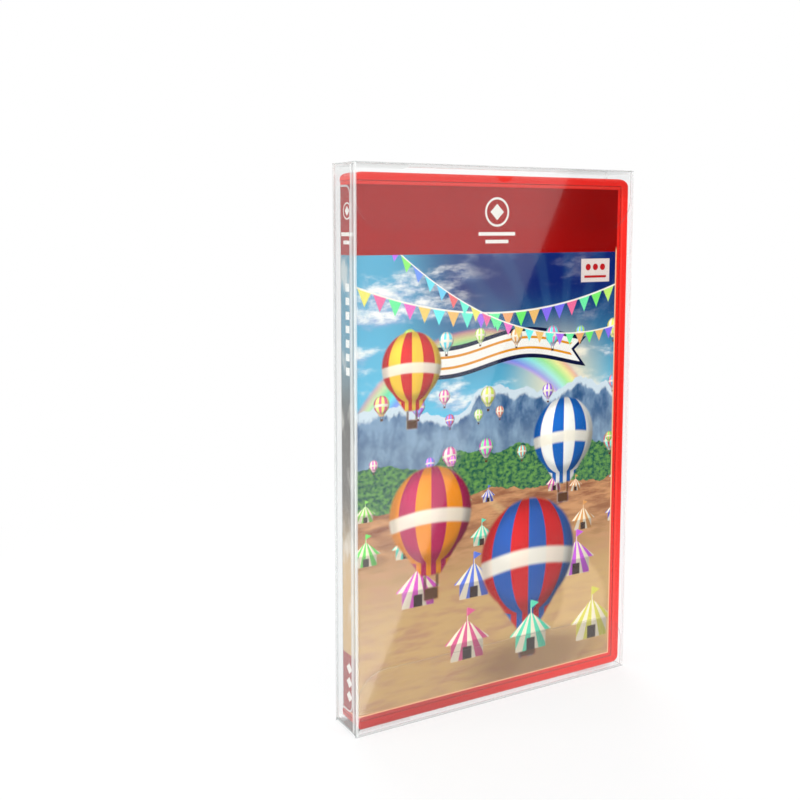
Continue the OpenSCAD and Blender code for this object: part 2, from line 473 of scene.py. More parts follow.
def fold_lines(sheet, settings, from_side):
    """Painted highlights and painted dark lines along the sleeve's folds and ends, a painted shadow
    along the foot of its left wall, and the painted sheen of that wall.
    """
    blur = 0.12
    from_face = SLEEVE_HIGH.y / MM - abs(sheet.y)
    from_end = sheet.lesser(sheet.z, SLEEVE_HIGH.z / MM - sheet.z)
    on_side = (from_face - from_side).rises(-0.05, 0.05)
    width = settings.fold_width
    left = sheet.x.falls(-1, 1)
    near = sheet.y.falls(-1, 1) * on_side * left
    # Painted highlight: a pale band on the faces beside the side folds, stronger on the left.
    on_face = from_side.inside(0.05, width, 0.1) * (1 - on_side) * (0.08 + 0.3 * left)
    # Painted highlight and painted dark line on the left wall, beside its front fold.
    outer_line = from_face.inside(1.35 * width, 2.15 * width, blur) * near * 0.45
    pale = sheet.greater(on_face, outer_line)
    inner_line = from_face.inside(0.65 * width, 1.15 * width, blur) * near * 0.6
    # Painted shade: a dark line along the top and bottom ends of the sheet.
    dark = sheet.greater(inner_line, from_end.falls(0.15, 0.4) * 0.4)
    # Painted shadow: a dark line along the foot of the left wall.
    foot = sheet.z.falls(0.9, 1.4) * on_side * left * 0.7
    dark = sheet.greater(dark, foot)
    # Painted sheen: the left wall is hazier than the rest of the sheet.
    return pale, dark, on_side * left * settings.painted_side_sheen


def clear_sheet(name, settings, gloss, facing=None):
    """Clear sheet with gloss and a faint haze. A folded one has painted highlights and shade along
    its folds, and a flat one, given the axis that it faces, shows a painted highlight by its sides
    and painted shade on its cut edges."""
    sheet = Finish(name)
    from_side = SLEEVE_HIGH.x / MM - abs(sheet.x)
    cloud = sheet.noise(sheet.at, 0.02, 2.0)
    dust = sheet.noise(sheet.at, 1.6, 1.0).rises(0.72, 0.82)
    haze = settings.haze * (0.5 + cloud) + 0.04 * dust
    if facing:
        pale, dark = cut_edges(sheet, facing, from_side)
    else:
        pale, dark, painted_side_sheen = fold_lines(sheet, settings, from_side)
        # From here the haze of a folded sheet holds the painted sheen of its left wall too.
        haze = haze + painted_side_sheen
    mirror = sheet.gloss_of_sheet(gloss)
    cover = sheet.lesser(mirror + haze + pale + dark, 1.0)
    wave = sheet.noise(sheet.at, 0.018, 1.0)
    shader = sheet.surface(
        Base_Color=sheet.mix(dark, settings.tint, ink(92, 94, 98)),
        Metallic=mirror / cover,
        Roughness=0.03 + 0.3 * dust,
        Ior=1.57,
        Normal=sheet.bump(wave, 0.00002),
    )
    return sheet.see_through(cover, shader)


def pressed_fold(settings):
    """Bright plastic of a fold, where the sheet is bent double: plastic whitened by the fold, with a
    painted highlight.
    """
    fold = Finish("pressed_fold")
    streak = fold.noise(fold.at, 0.35, 3.0)
    shader = fold.surface(
        Base_Color=fold.mix(streak, settings.tint, ink(255, 255, 255)),
        Roughness=0.12 + 0.15 * streak,
        Ior=1.57,
    )
    return fold.see_through(0.25 + 0.3 * streak, shader)


def motif_group(name):
    """A group that takes a place and two colours, and gives a mask and a colour."""
    group = bpy.data.node_groups.new(name, "ShaderNodeTree")
    for side, socket, kind in (
        ("INPUT", "Across", "Float"),
        ("INPUT", "Up", "Float"),
        ("INPUT", "First", "Color"),
        ("INPUT", "Second", "Color"),
        ("OUTPUT", "Mask", "Float"),
        ("OUTPUT", "Colour", "Color"),
    ):
        group.interface.new_socket(socket, in_out=side, socket_type=f"NodeSocket{kind}")
    bench = Bench(group)
    across = bench.node("NodeGroupInput", {}, {})
    return bench, across, across.other("Up")


def balloon_motif():
    """Printed balloon of radius 1 round 0, 0, with stripes, a belt and a basket."""
    bench, across, up = motif_group("balloon_motif")
    blur = 0.04
    bag = bench.disc(across, up, 0, 0, 1, blur)
    skirt = (abs(across) - 0.75 * up).below(1.22, blur) * up.inside(-1.32, -0.5, blur)
    envelope = bench.greater(bag, skirt)
    basket = bench.bar(across, up, (-0.18, 0.18, -1.85, -1.58), blur)
    ropes = abs(abs(across) - 0.15).falls(0.02, 0.06) * up.inside(-1.6, -1.3, blur)
    seam = across / bench.greater(1.04 - 0.9 * up * up, 0.1) ** 0.5
    stripes = bench.maths("SINE", seam * 8.2).rises(-0.12, 0.12)
    belt = (up + 0.12 * across * across).inside(-0.2, 0.1, blur)
    glow = bench.disc(across, up, -0.35, 0.4, 0.35, 0.3)
    shadow = (across * 0.75 - up * 0.45).rises(0.0, 1.15)
    colour = bench.mix(stripes, across.other("First"), across.other("Second"))
    colour = bench.mix(belt * 0.9, colour, ink(250, 244, 226))
    rim = ((across ** 2 + up ** 2) ** 0.5).inside(0.84, 1.1, 0.1)
    colour = bench.shade(colour, 1.0 + 0.35 * glow - 0.5 * shadow - 0.3 * rim)
    colour = bench.mix(bench.greater(basket, ropes), colour, ink(92, 56, 30))
    mask = bench.greater(envelope, bench.greater(basket, ropes * 0.8))
    bench.node("NodeGroupOutput", {}, {"Mask": mask, "Colour": colour})
    return bench.tree


def tent_motif():
    """Printed tent whose floor is at 0 and whose roof ends at 1.5, with a flag."""
    bench, across, up = motif_group("tent_motif")
    blur = 0.03
    wall = bench.bar(across, up, (-0.72, 0.72, 0.0, 0.7), blur)
    slope = (abs(across) + 1.25 * up).below(1.86, blur)
    roof = slope * up.inside(0.66, 1.5, blur) * abs(across).falls(0.95, 1.0)
    door = bench.bar(across, up, (-0.2, 0.2, -0.1, 0.48), blur)
    pole = bench.bar(across, up, (-0.03, 0.03, 1.4, 1.95), 0.02)
    pennant = (across + 2.2 * abs(up - 1.82)).falls(0.36, 0.4) * across.inside(0.0, 0.45, 0.02)
    fan = across / bench.greater(1.62 - up, 0.2)
    stripes = bench.maths("SINE", fan * 13.0).rises(-0.15, 0.15)
    colour = bench.mix(stripes, across.other("First"), across.other("Second"))
    colour = bench.mix(wall * (1 - roof) * 0.35, colour, ink(60, 40, 30))
    colour = bench.shade(colour, 1.12 - 0.4 * across.rises(-0.3, 0.9))
    colour = bench.mix(door, colour, ink(58, 38, 34))
    colour = bench.mix(pennant, colour, across.other("First"))
    mask = wall
    for part in (roof, pole, pennant):
        mask = bench.greater(mask, part)
    bench.node("NodeGroupOutput", {}, {"Mask": mask, "Colour": colour})
    return bench.tree


class Cover(Finish):
    """The printed sheet. Its pictures are worked out from the place on it, in millimetres."""

    def __init__(self, name, settings):
        super().__init__(name)
        self.settings = settings
        self.balloon = balloon_motif()
        self.tent = tent_motif()
        self.top = PRINT_HIGH.z / MM
        self.band_low = self.top - settings.band_height / MM

    def paper(self, picture):
        """Glossy paper with a picture, a pale line where it is cut and a dark one at the top."""
        fibre = self.noise(self.at, 2.4, 3.0)
        low, high = PRINT_LOW.z / MM, PRINT_HIGH.z / MM
        edge = self.greater(self.z.falls(low + 0.3, low + 0.5), self.x.rises(46.9, 47.1))
        edge = edge * self.z.falls(self.band_low, self.band_low + 2)
        picture = self.mix(edge, picture, ink(252, 196, 150))
        picture = self.mix(self.z.rises(high - 0.5, high - 0.3) * 0.6, picture, ink(120, 2, 2))
        return self.surface(
            Base_Color=self.mix(self.faces("Z").rises(0.6, 0.8), picture, PAPER_WHITE),
            Roughness=0.4 + 0.15 * fibre,
            Specular_IOR_Level=0.03,
            Normal=self.bump(fibre, 0.00001),
        )

    def motif(self, picture, group, across, up, first, second, shown=1.0):
        made = self.node(
            "ShaderNodeGroup",
            {"node_tree": group},
            {"Across": across, "Up": up, "First": first, "Second": second},
        )
        return self.mix(made * shown, picture, made.other("Colour"))

    def balloon_at(self, picture, x, at, radius, first, second):
        """One balloon whose bag has its middle at the point given."""
        across = (x - at[0]) / radius
        up = (self.z - at[1]) / radius
        return self.motif(picture, self.balloon, across, up, first, second)

    def chance(self, across, up, seed):
        """Three numbers drawn for each cell of a grid."""
        drawn = self.node(
            "ShaderNodeTexWhiteNoise",
            {"noise_dimensions": "1D"},
            {"W": across * 12.9 + up * 78.2 + seed},
            out="Color",
        )
        red = self.node("ShaderNodeSeparateColor", {}, {0: drawn})
        return red, red.other("Green"), red.other("Blue")

    def flock(self, picture, x, cell, seed, share, low, high):
        """Small balloons, drawn one to a cell in a share of the cells."""
        column, row = x / cell, self.z / (1.4 * cell)
        cell_x, cell_z = math.floor(column), math.floor(row)
        one, two, three = self.chance(cell_x, cell_z, seed)
        hue, flip, level = self.chance(cell_x, cell_z, seed + 0.5)
        radius = 0.15 + 0.13 * one
        across = (column - cell_x - 0.35 - 0.3 * two) / radius
        up = 1.4 * (row - cell_z - 0.5 - 0.2 * three) / radius
        first = self.from_hue(hue, 0.82, 0.85)
        second = self.mix(flip.rises(0.45, 0.55), self.from_hue(level, 0.7, 0.95), ink(250, 240, 220))
        centre = (cell_z + 0.5) * 1.4 * cell
        shown = one.below(share, 0.01) * centre.inside(low, high, 0.5)
        return self.motif(picture, self.balloon, across, up, first, second, shown)

    def camp(self, picture, x, floor, width, seed, share):
        """A row of tents along the ground."""
        column = x / width
        cell = math.floor(column)
        one, two, three = self.chance(cell, seed, 0.0)
        size = 0.3 + 0.1 * one
        across = (column - cell - 0.5 + 0.1 * (two - 0.5)) / size
        up = ((self.z - floor) / width - 0.16 * three) / size
        first = self.from_hue(three, 0.85, 0.75)
        shown = two.below(share, 0.01)
        return self.motif(picture, self.tent, across, up, first, ink(248, 238, 214), shown)

    def bunting(self, picture, x, hang, level, pitch, drop):
        """A string of small pennants that hangs in a shallow curve."""
        line = level + hang * x * x
        column = x / pitch
        cell = math.floor(column)
        hue = self.chance(cell, 7.0, 3.0)[0]
        below = (line - self.z) / drop
        reach = abs(column - cell - 0.5) * 2 + below
        pennant = reach.falls(0.86, 0.94) * below.rises(-0.02, 0.04)
        picture = self.mix(pennant, picture, self.from_hue(hue, 0.8, 0.9))
        return self.mix(abs(below).falls(0.02, 0.08), picture, ink(250, 246, 236))

    def ridge(self, x, level, height, scale, seed):
        """The height of a skyline above the place x."""
        return level + height * (self.wander(x, scale, seed, 5.0) * 2 - 1)

    def skyline(self, picture, level, below):
        """Lays a picture under a skyline."""
        return self.mix((level - self.z).rises(-0.1, 0.25), picture, below)

    def sky(self, x):
        """Sky with faint rays, clouds lit from above, and a low sun."""
        settings, z = self.settings, self.z
        high = z.rises(92, 138) * (0.25 + 0.75 * x.rises(-44, -14))
        picture = self.mix(high, settings.horizon, settings.sky)
        sun_x, sun_z = 24.0, 104.0
        bearing = self.maths("ARCTAN2", z - sun_z, x - sun_x)
        rays = self.maths("SINE", bearing * 22.0).rises(-0.2, 0.9) * z.rises(95, 120) * 0.05
        picture = self.mix(rays, picture, ink(120, 200, 236))
        drawn, above = (0.55, 0, 1.25), (0, 0, 2.5)
        clouds = self.noise(self.stretched(drawn), 0.045, 6.0, 0.62)
        shaded = self.noise(self.stretched(drawn, above), 0.045, 6.0, 0.62)
        lit = (clouds - shaded).rises(-0.06, 0.06)
        cloud_colour = self.mix(lit, ink(150, 176, 214), ink(255, 253, 248))
        deep = 1 - 0.85 * z.rises(112, 130) * x.rises(-26, -6)
        picture = self.mix(clouds.rises(0.5, 0.62) * 0.92 * deep, picture, cloud_colour)
        glow = self.disc(x, z, sun_x, sun_z, 14, 12)
        return self.mix(glow * 0.75, picture, ink(255, 236, 190))

    def rainbow(self, picture, x):
        """A rainbow, whose hue runs across its width."""
        middle_x, middle_z, radius, width = -8, 70, 53, 10
        reach = ((x - middle_x) ** 2 + (self.z - middle_z) ** 2) ** 0.5
        along = (radius - reach) / width
        arch = along.inside(0, 1, 0.08) * 0.6
        return self.mix(arch, picture, self.from_hue(along * 0.75, 0.75, 0.95))

    def mountains(self, picture, x):
        """Far peaks with snow, in mist at their feet."""
        far = self.ridge(x, 101, 15, 0.035, 11.0)
        rock = self.noise(self.stretched((0.9, 0, 0.5)), 0.16, 6.0, 0.65)
        snow = (self.z - far + 8 * rock).rises(0.5, 2.0)
        peaks = self.mix(rock.rises(0.35, 0.65), ink(52, 92, 138), ink(138, 168, 196))
        peaks = self.mix(snow, peaks, ink(214, 228, 236))
        picture = self.skyline(picture, far, peaks)
        mist = self.z.inside(78, 92, 6) * 0.2
        return self.mix(mist, picture, ink(196, 216, 222))

    def woods(self, picture, x):
        middle = self.ridge(x, 83, 8, 0.05, 23.0)
        leaf = self.noise(self.stretched((1, 0, 1.3)), 0.6, 4.0, 0.6)
        trees = self.mix(leaf.rises(0.35, 0.65), ink(24, 84, 78), LEAF)
        return self.skyline(picture, middle, trees)

    def ground(self, picture, x):
        """Banks and sand, with a winding path and the shade of the nearest balloon."""
        z = self.z
        near = self.ridge(x, 70, 6, 0.045, 37.0)
        grain = self.noise(self.stretched((0.35, 0, 1.6)), 0.22, 6.0, 0.6)
        bank = self.mix(grain.rises(0.35, 0.65), ink(150, 92, 64), ink(214, 160, 112))
        sand = self.mix(grain.rises(0.42, 0.68), self.settings.sand, ink(190, 146, 110))
        ground = self.mix(z.rises(34, 66), sand, bank)
        path_middle = 10.0 + 26 * self.maths("SINE", z * 0.055)
        path_half = 15.0 - 0.2 * z
        path = abs(x - path_middle).below(path_half, 1.5)
        ground = self.mix(path * 0.4, ground, ink(240, 208, 152))
        shade = self.disc(x, (z - 11) * 3, 14, 0, 24, 12)
        ground = self.mix(shade * 0.6, ground, ink(110, 66, 44))
        return self.skyline(picture, near, ground)

    def field(self, picture, across, box, colour, blur=PRINT_BLUR):
        """A plain rectangle of colour, given as left, right, bottom and top."""
        return self.mix(self.bar(across, self.z, box, blur), picture, colour)

    def ribbon(self, picture, x, level, left, right):
        """A waving white ribbon with a dark outline and two stripes."""
        off = abs(self.z - level - 2.4 * self.maths("SINE", x * 0.1 + 0.6))
        for edge, colour in ((0.0, ink(14, 22, 62)), (1.3, ink(246, 244, 238))):
            start, stop = left + edge, right - edge
            ends = (x + off).rises(start, start + 0.2) * (x - off).falls(stop - 0.2, stop)
            picture = self.mix(ends * off.falls(4.9 - edge, 5.1 - edge), picture, colour)
        stripes = off.inside(1.3, 2.1, 0.1) * (x + off).rises(left + 3, left + 3.2)
        stripes = stripes * (x - off).falls(right - 3.2, right - 3)
        return self.mix(stripes, picture, ink(226, 150, 20))

    def front(self):
        """Front of the cover: the scenery, then what stands in it, from far to near."""
        x, z = self.x, self.z
        picture = self.rainbow(self.sky(x), x)
        for part in (self.mountains, self.woods, self.ground):
            picture = part(picture, x)
        picture = self.ribbon(picture, x, 115.5, -26, 30)
        picture = self.camp(picture, x, 66, 9, 3.0, 0.8)
        picture = self.flock(picture, x, 13, 1.0, 0.72, 66, 132)
        picture = self.flock(picture, x + 5, 9, 17.0, 0.5, 74, 104)
        picture = self.camp(picture, x, 52, 14, 8.0, 0.75)
        picture = self.balloon_at(picture, x, (-33, 113), 10.5, ink(214, 34, 34), GOLD)
        picture = self.balloon_at(picture, x, (26, 86), 12.5, COBALT, CREAM)
        picture = self.camp(picture, x, 34, 21, 14.0, 0.7)
        picture = self.balloon_at(picture, x, (-26, 66), 15.0, ORANGE, PLUM)
        picture = self.balloon_at(picture, x, (12, 47), 19.0, SCARLET, ink(40, 92, 176))
        picture = self.camp(picture, x, 12, 26, 31.0, 0.4)
        picture = self.bunting(picture, x, 0.0035, 128, 5.2, 5.5)
        picture = self.bunting(picture, x - 30, 0.006, 120, 4.2, 4.4)
        picture = self.field(picture, x, (32.2, 44.4, 136.8, 144.6), ink(228, 216, 210))
        rule = self.bar(x, z, (33.6, 43.0, 138.2, 139.0))
        for spot in (35.2, 38.3, 41.4):
            dot = self.disc(x, z, spot, 141.8, 1.1)
            rule = self.greater(rule, dot)
        picture = self.mix(rule, picture, ink(186, 24, 30))
        return self.banded(picture, x, -2.0, 1.0)

    def banded(self, picture, x, middle, size):
        """The plain band at the top, with a ring, a lozenge and two rules."""
        z = self.z
        tone = self.noise(self.stretched((0.6, 0.6, 0.4)), 0.05, 3.0)
        band = self.shade(self.settings.band, 0.95 + 0.3 * tone - 0.3 * x.rises(8, 40))
        picture = self.mix(z.above(self.band_low, PRINT_BLUR), picture, band)
        mark_z = self.band_low + 13.0
        ring = self.disc(x, z, middle, mark_z, 4.6 * size)
        ring = ring * (1 - self.disc(x, z, middle, mark_z, 3.9 * size))
        lozenge = (abs(x - middle) + abs(z - mark_z)).falls(2.5 * size, 2.5 * size + 0.15)
        mark = self.greater(ring, lozenge)
        for half, level in ((7.0, 5.6), (4.4, 3.2)):
            low = self.band_low + level
            box = (middle - half * size, middle + half * size, low, low + 1.1)
            mark = self.greater(mark, self.bar(x, z, box))
        return self.mix(mark, picture, PAPER_WHITE)

    def spine(self):
        """Narrow side: the band, a fading picture and plain marks."""
        y, z = self.y, self.z
        middle = (PRINT_LOW.y + PRINT_HIGH.y) / 2 / MM
        picture = self.mix(z.rises(48, 128), self.settings.sand, ink(84, 150, 176))
        picture = self.mix(z.inside(62, 108, 14) * 0.9, picture, ink(58, 44, 42))
        blots = self.noise(self.stretched((0, 1, 0.5)), 0.12, 5.0)
        picture = self.mix(blots.rises(0.5, 0.66) * 0.6, picture, ink(238, 234, 226))
        marks = 0.0
        for step in range(7):
            level = 112 + 4.2 * step
            box = (middle - 1.2, middle + 1.2, level - 1.2 + 0.2 * (step % 2), level + 1.2)
            marks = self.greater(marks, self.bar(y, z, box, 0.1))
        picture = self.mix(marks, picture, ink(244, 244, 240))
        foot = z.falls(23.9, 24.1)
        picture = self.mix(foot, picture, self.settings.band)
        for level in (10.5, 15.0, 19.5):
            lozenge = (abs(y - middle) + abs(z - level)).falls(1.7, 1.9)
            picture = self.mix(lozenge, picture, PAPER_WHITE)
        return self.banded(picture, y, middle, 0.55)

    def back(self):
        """Far side: a calm sky, three framed pictures and a pale panel."""
        x, z, settings = self.x, self.z, self.settings
        picture = self.mix(z.rises(30, 140), ink(190, 214, 226), settings.sky)
        soft = self.noise(self.stretched((0.5, 0, 1)), 0.04, 4.0)
        picture = self.mix(soft.rises(0.5, 0.7) * 0.4, picture, ink(240, 246, 250))
        inks = ((SCARLET, GOLD), (COBALT, CREAM), (ORANGE, PLUM))
        view_sky = self.mix(z.rises(94, 120), settings.horizon, settings.sky)
        hills = self.ridge(x, 101, 5, 0.08, 5.0)
        scenery = self.mix((hills - z).rises(-0.1, 0.2), view_sky, LEAF)
        for i, (first, second) in enumerate(inks):
            left = -42.0 + 30.5 * i
            picture = self.field(picture, x, (left - 1, left + 27, 93, 123), ink(246, 246, 242))
            inner = self.bar(x, z, (left, left + 26, 94, 122))
            view = self.balloon_at(scenery, x, (left + 9 + 3 * i, 111), 7.0, first, second)
            picture = self.mix(inner, picture, view)
        picture = self.field(picture, x, (-44, 42, 12, 56), ink(228, 228, 224), 0.1)
        for i, right in enumerate((30, 36, 24, 34, 12)):
            line = (-40, right, 50.5 - 3.4 * i, 52 - 3.4 * i)
            picture = self.field(picture, x, line, ink(136, 138, 142))
        picture = self.field(picture, x, (12, 38, 15, 30), ink(252, 252, 250))
        for i, right in enumerate((32, 18, 26)):
            line = (-40, right, 80 - 4.5 * i, 82 - 4.5 * i)
            picture = self.field(picture, x, line, ink(240, 240, 236))
        return self.banded(picture, x, -2.0, 0.8)


def printed_cover(settings):
    """Glossy paper with a picture on each side and pale cut edges."""
    cover = Cover("printed_cover", settings)
    corner, blur = 0.75, 0.05
    front_y = PRINT_LOW.y / MM + corner
    back_y = PRINT_HIGH.y / MM - corner
    past_front = cover.y.above(front_y, blur)
    past_spine = cover.y.above(back_y, blur)
    front = cover.paper(cover.front())
    turned = cover.blend(past_front, front, cover.paper(cover.spine()))
    return cover.done(cover.blend(past_spine, turned, cover.paper(cover.back())))


def film_bend_highlight(film):
    """Painted highlight: a pale line on the spine, where the film is drawn round a rounded rectangle.
    """
    front, bend, margin = 2.6, 2.5, 1.5
    middle = (FILM_LOW.z + FILM_HIGH.z) / 2 / MM
    half = middle - FILM_LOW.z / MM - margin
    beyond_y = film.greater(bend - front - film.y, 0)
    beyond_z = film.greater(abs(film.z - middle) - half + bend, 0)
    off_crease = abs((beyond_y ** 2 + beyond_z ** 2) ** 0.5 - bend)
    return off_crease.falls(0.2, 0.4) * film.x.falls(-52, -51.8) * 0.55


def clear_film():
    """Thin film over the cover, which lies in faint waves."""
    film = Finish("clear_film")
    wave = film.noise(film.stretched((0.6, 1, 0.25)), 0.05, 2.0)
    fleck = film.noise(film.at, 2.2, 1.0).rises(0.74, 0.84)
    mirror = film.gloss_of_sheet(0.024)
    # The cover holds the painted highlight where the film bends, besides its gloss, haze and flecks.
    cover = mirror + 0.0003 + 0.06 * fleck + film_bend_highlight(film)
    shader = film.surface(
        Base_Color=ink(246, 247, 248),
        Metallic=mirror / cover,
        Roughness=0.05 + 0.05 * wave,
        Ior=1.5,
        Normal=film.bump(wave, 0.00004),
    )
    return film.see_through(cover, shader)


def film_weld_finish():
    """Pressed line where the film is welded down, red from the case below it."""
    weld = Finish("film_weld")
    beads = weld.noise(weld.at, 1.4, 2.0)
    shader = weld.surface(
        Base_Color=weld.mix(beads, ink(176, 14, 12), ink(224, 60, 48)),
        Roughness=0.25 + 0.2 * beads,
        Ior=1.5,
    )
    return weld.see_through(0.35 + 0.3 * beads, shader)


def red_plastic(settings):
    """Moulded red plastic that lets light through, with painted light where it is thin at its edges.
    """
    red = Finish("red_plastic")
    from_side = CASE_HIGH.x / MM - abs(red.x)
    low, high = CASE_LOW.z / MM, CASE_HIGH.z / MM
    from_end = red.lesser(red.z - low, high - red.z)
    from_edge = red.lesser(from_side, from_end)
    # Painted light: lighter at the edges and along a line 3 mm in from them, as if light came through
    # the thin plastic; the flow noise mixed in is the plastic's own tone.
    rim = from_edge.falls(0.2, 1.1)
    ridge = from_edge.inside(2.75, 3.25, 0.2)
    # Painted shade: the bottom edge is darker towards the left, and the top edge is darker.
    painted_shade = red.z.falls(6, 12) * red.x.falls(-30, 45) + 0.4 * red.z.rises(163, 168)
    flow = red.noise(red.stretched((0.5, 1, 0.2)), 0.08, 4.0)
    grain = red.noise(red.at, 3.5, 3.0, 0.6)
    lit = rim * 0.4 + ridge * 0.45 + 0.15 * flow
    colour = red.mix(lit, settings.plastic, settings.plastic_thin)
    colour = red.mix((grain - 0.5).rises(0.0, 0.3) * 0.15, colour, ink(170, 8, 6))
    colour = red.mix(painted_shade * 0.6, colour, ink(150, 12, 12))
    shader = red.surface(
        Base_Color=colour,
        Roughness=0.24 + 0.12 * grain,
        Specular_IOR_Level=0.25,
        Subsurface_Weight=0.25,
        Subsurface_Radius=(1.0, 0.15, 0.1),
        Subsurface_Scale=0.002,
        Normal=red.bump(grain + 0.6 * flow, 0.00003),
    )
    return red.done(shader)


def card_plastic(settings):
    """Fine-grained dark plastic of the card's housing."""
    card = Finish("card_plastic")
    spark = card.noise(card.at, 9.0, 3.0, 0.7)
    scuff = card.noise(card.stretched((4, 1, 0.3)), 0.8, 2.0).rises(0.6, 0.8)
    colour = card.mix(scuff * 0.3, settings.card_plastic, ink(84, 84, 88))
    shader = card.surface(
        Base_Color=colour,
        Roughness=0.5 + 0.2 * spark,
        Ior=1.5,
        Normal=card.bump(spark, 0.00003),
    )
    return card.done(shader)


def contact_gold():
    """Plated contacts on a dark green board."""
    gold = Finish("contact_gold")
    polish = gold.noise(gold.stretched((1, 1, 8)), 0.8, 3.0)
    pad_depth = 1.2
    pads_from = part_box("card_contacts")[1].y / MM - pad_depth
    pads = gold.y.above(pads_from, 0.02)
    shader = gold.surface(
        Base_Color=gold.mix(pads, ink(18, 66, 44), ink(236, 196, 104)),
        Metallic=pads,
        Roughness=0.24 + 0.2 * polish,
    )
    return gold.done(shader)


def label_finish(settings):
    """Printed label: the cover's band, its sky and its sand."""
    label = Finish("label_print")
    z = label.z
    low, high = LABEL_LOW.z / MM, LABEL_HIGH.z / MM
    span = high - low
    middle_x = (LABEL_LOW.x + LABEL_HIGH.x) / 2 / MM
    picture = label.mix(z.rises(low, low + 0.7 * span), settings.sand, settings.sky)
    hills = low + 0.3 * span + 3 * label.wander(label.x, 0.16, 2.0)
    picture = label.mix((hills - z).rises(-0.05, 0.1), picture, ink(60, 140, 110))
    picture = label.mix(z.rises(high - 0.25 * span, high - 0.24 * span), picture, settings.band)
    dot = label.disc(label.x, z, middle_x, high - 0.12 * span, 1.3)
    picture = label.mix(dot, picture, PAPER_WHITE)
    fibre = label.noise(label.at, 5.0, 2.0)
    shader = label.surface(
        Base_Color=picture,
        Roughness=0.35 + 0.2 * fibre,
        Normal=label.bump(fibre, 0.00001),
    )
    return label.done(shader)


class CARDCASE_OT_sleeve(bpy.types.Operator):
    """Finish the clear sleeve with its lids and flaps, and lay the beads in its folds"""

    bl_idname = "cardcase.sleeve"
    bl_label = "Clear sleeve"

    def execute(self, context):
        settings = context.scene.cardcase_sleeve
        gloss = settings.gloss
        coat("box_sleeve", clear_sheet("clear_sheet_folded", settings, gloss))
        lid = clear_sheet("clear_sheet_lid", settings, gloss, "Z")
        tucked = clear_sheet("clear_sheet_tucked", settings, gloss / 6, "Y")
        for end in ("top", "bottom"):
            coat(f"{end}_lid", lid)
            coat(f"{end}_tuck_flap", tucked)
        # Beads of whitened plastic with a painted highlight, laid in the folds.
        bright = pressed_fold(settings)
        radius = settings.bead_radius
        margin = 0.2 * MM
        inset = radius + margin
        low_z, high_z = LID_HIGH.z - LID_LOW.z, LID_LOW.z
        for side, x in (("left", SLEEVE_LOW.x + inset), ("right", SLEEVE_HIGH.x - inset)):
            for face, y in (("front", SLEEVE_LOW.y + inset), ("back", SLEEVE_HIGH.y - inset)):
                route = [Vector((x, y, low_z + MM)), Vector((x, y, high_z - MM))]
                form = bead_form(route, radius)
                new_piece(f"fold_{face}_{side}", form, CASE_BODY, bright)
        hinge_y = LID_HIGH.y
        for name, body, z in (
            ("lid_fold_top", UPPER_BODY, LID_HIGH.z - inset),
            ("lid_fold_bottom", LOWER_BODY, inset),
        ):
            route = [Vector((LID_LOW.x, hinge_y, z)), Vector((LID_HIGH.x, hinge_y, z))]
            new_piece(name, bead_form(route, radius * 0.8), body, bright)
        return {"FINISHED"}


class CARDCASE_OT_case(bpy.types.Operator):
    """Finish the moulded case"""

    bl_idname = "cardcase.case"
    bl_label = "Moulded case"

    def execute(self, context):
        coat("case_shell", red_plastic(context.scene.cardcase_case))
        return {"FINISHED"}


class CARDCASE_OT_cover(bpy.types.Operator):
    """Print the cover, lay the film over it and weld the film down"""

    bl_idname = "cardcase.cover"
    bl_label = "Printed cover and film"

    def execute(self, context):
        coat("cover_insert", printed_cover(context.scene.cardcase_cover))
        coat("cover_film", clear_film())
        radius = context.scene.cardcase_case.weld_radius
        form = bead_form(weld_route(), radius, closed=True)
        new_piece("film_weld", form, CASE_BODY, film_weld_finish())
        return {"FINISHED"}


def weld_route():
    """Closed route round the film: along the front, round the spine and along the back."""
    near, far = FILM_LOW.y, FILM_HIGH.y
    edge, spine = FILM_HIGH.x, FILM_LOW.x
    bend = 1.2 * MM
    wrap = [Vector((edge, near, 0))]
    wrap += turn_points(Vector((spine + bend, near + bend, 0)), bend, 270, 180)
    wrap += turn_points(Vector((spine + bend, far - bend, 0)), bend, 180, 90)
    wrap.append(Vector((edge, far, 0)))
    upper = [point + Vector((0, 0, FILM_HIGH.z)) for point in wrap]
    lower = [point + Vector((0, 0, FILM_LOW.z)) for point in reversed(wrap)]
    corner = 0.3 * MM
    inwards = Vector((corner, 0, 0))
    route = []
    for run in (upper, lower):
        up = Vector((0, 0, corner if run is lower else -corner))
        route += [run[0] + up, run[0] - inwards, *run[1:-1], run[-1] - inwards, run[-1] + up]
    return route


class CARDCASE_OT_card(bpy.types.Operator):
    """Finish the game card inside the case"""

    bl_idname = "cardcase.card"
    bl_label = "Game card"

    def execute(self, context):
        housing = card_plastic(context.scene.cardcase_case)
        coat("card_front_shell", housing)
        coat("card_back_shell", housing)
        coat("card_contacts", contact_gold())
        coat("card_label", label_finish(context.scene.cardcase_cover))
        return {"FINISHED"}


def hang_lamps(scene, settings):
    """Soft square lamps that face the object, none of them seen in its gloss."""
    middle = Vector((0, 0, 0.08))
    for name, place, size in (
        ("key", (-0.9, -1.1, 1.2), 0.9),
        ("fill", (1.2, -0.9, 0.7), 1.0),
        ("side", (-1.5, 0.3, 0.5), 1.0),
        ("rear", (0.5, 1.5, 1.0), 1.2),
    ):
        light = bpy.data.lights.new(f"{name}_lamp", "AREA")
        light.shape = "RECTANGLE"
        light.size = light.size_y = size
        light.energy = getattr(settings, f"{name}_power")
        made = bpy.data.objects.new(f"{name}_lamp", light)
        made.location = place
        made.rotation_euler = (middle - Vector(place)).to_track_quat("-Z", "Y").to_euler()
        made.visible_glossy = False
        scene.collection.objects.link(made)


